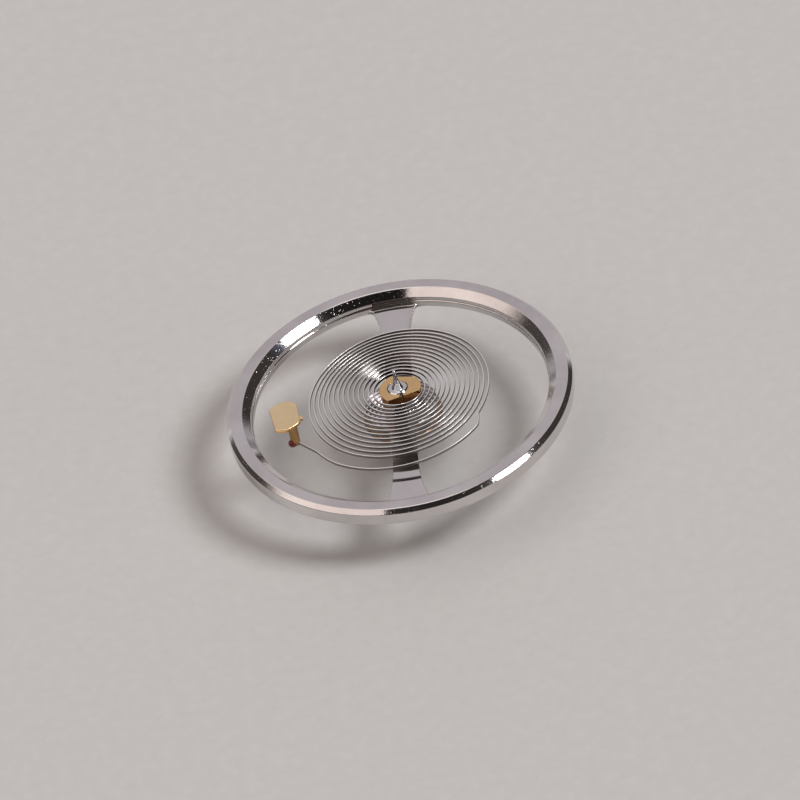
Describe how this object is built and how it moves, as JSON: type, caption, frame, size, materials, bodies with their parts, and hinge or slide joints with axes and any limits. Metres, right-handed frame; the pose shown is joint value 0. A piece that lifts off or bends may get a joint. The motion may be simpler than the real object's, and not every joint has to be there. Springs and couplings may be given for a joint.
{
  "type": "balance wheel",
  "caption": "Watch balance: smooth two-arm wheel on a pivoted staff with double roller and jewel, and a flat spiral hairspring from its split collet to a stud.",
  "frame": {"origin": "tip of the lower pivot, on the axis of the balance staff", "axes": "+Z along the staff towards the upper pivot and the hairspring; the wheel's two arms lie along Y; the impulse jewel is on +X at rest"},
  "size_m": [0.01, 0.01, 0.003],
  "materials": {
    "wheel_metal": "mirror polished, nickel coloured",
    "staff_steel": "hardened steel, burnished",
    "collet_brass": "turned and polished brass",
    "spring_alloy": "rolled nickel iron ribbon, bright",
    "stud_brass": "polished brass",
    "red_cement": "glossy dark red drop",
    "roller_brass": "turned and polished brass",
    "ruby": "polished synthetic ruby"
  },
  "bodies": {
    "stud_side": {"stud": "stud_brass", "stud_cement": "red_cement", "hairspring": "spring_alloy"},
    "balance": {"balance_wheel": "wheel_metal", "balance_staff": "staff_steel", "collet": "collet_brass", "double_roller": "roller_brass", "impulse_jewel": "ruby"}
  },
  "joints": [
    {"name": "balance_swing", "type": "hinge", "parent": "stud_side", "child": "balance", "pos_m": [0, 0, 0], "axis": [0, 0, 1], "range_deg": [-300, 300], "stiffness_Nm_per_rad": 0.000000594, "deforming": ["hairspring"]}
  ]
}
